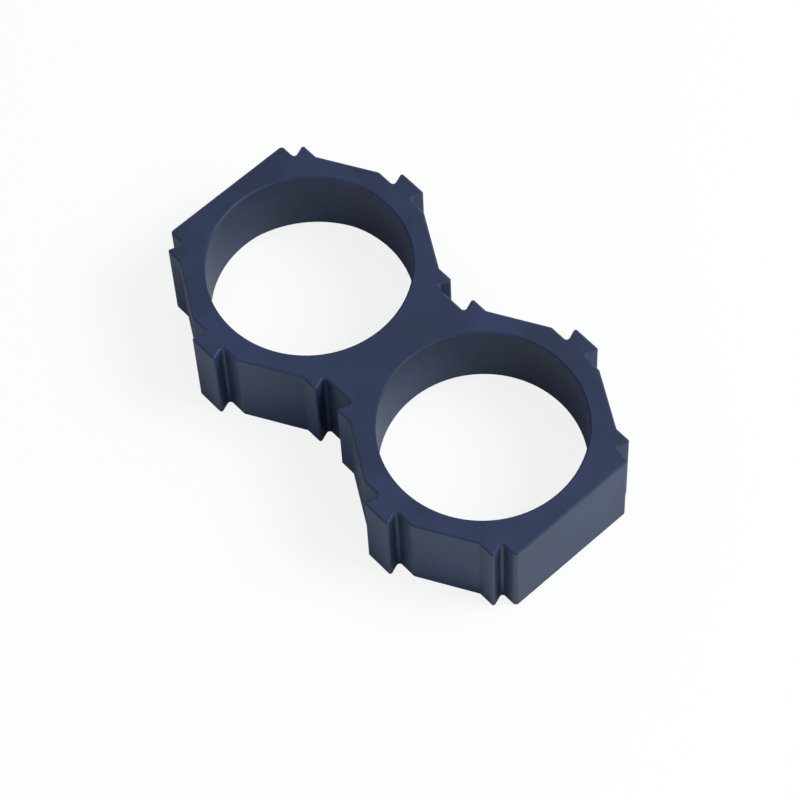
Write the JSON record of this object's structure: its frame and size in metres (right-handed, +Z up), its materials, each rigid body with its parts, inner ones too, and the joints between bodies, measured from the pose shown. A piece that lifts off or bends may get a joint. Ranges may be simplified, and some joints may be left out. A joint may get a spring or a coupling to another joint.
{
  "type": "battery cell holder bracket",
  "caption": "Moulded strip that holds round battery cells upright in through bores, with dovetail keys and slots round its edge so strips interlock into a block.",
  "frame": {"origin": "centre of the underside, midway between the bores", "axes": "+X along the strip from bore to bore, +Z up out of the bores on the side away from the lead-ins"},
  "size_m": [0.0446, 0.025, 0.0096],
  "materials": {
    "moulded_abs": "satin, injection moulded"
  },
  "bodies": {
    "root": {"cell_bracket": "moulded_abs"}
  },
  "joints": []
}
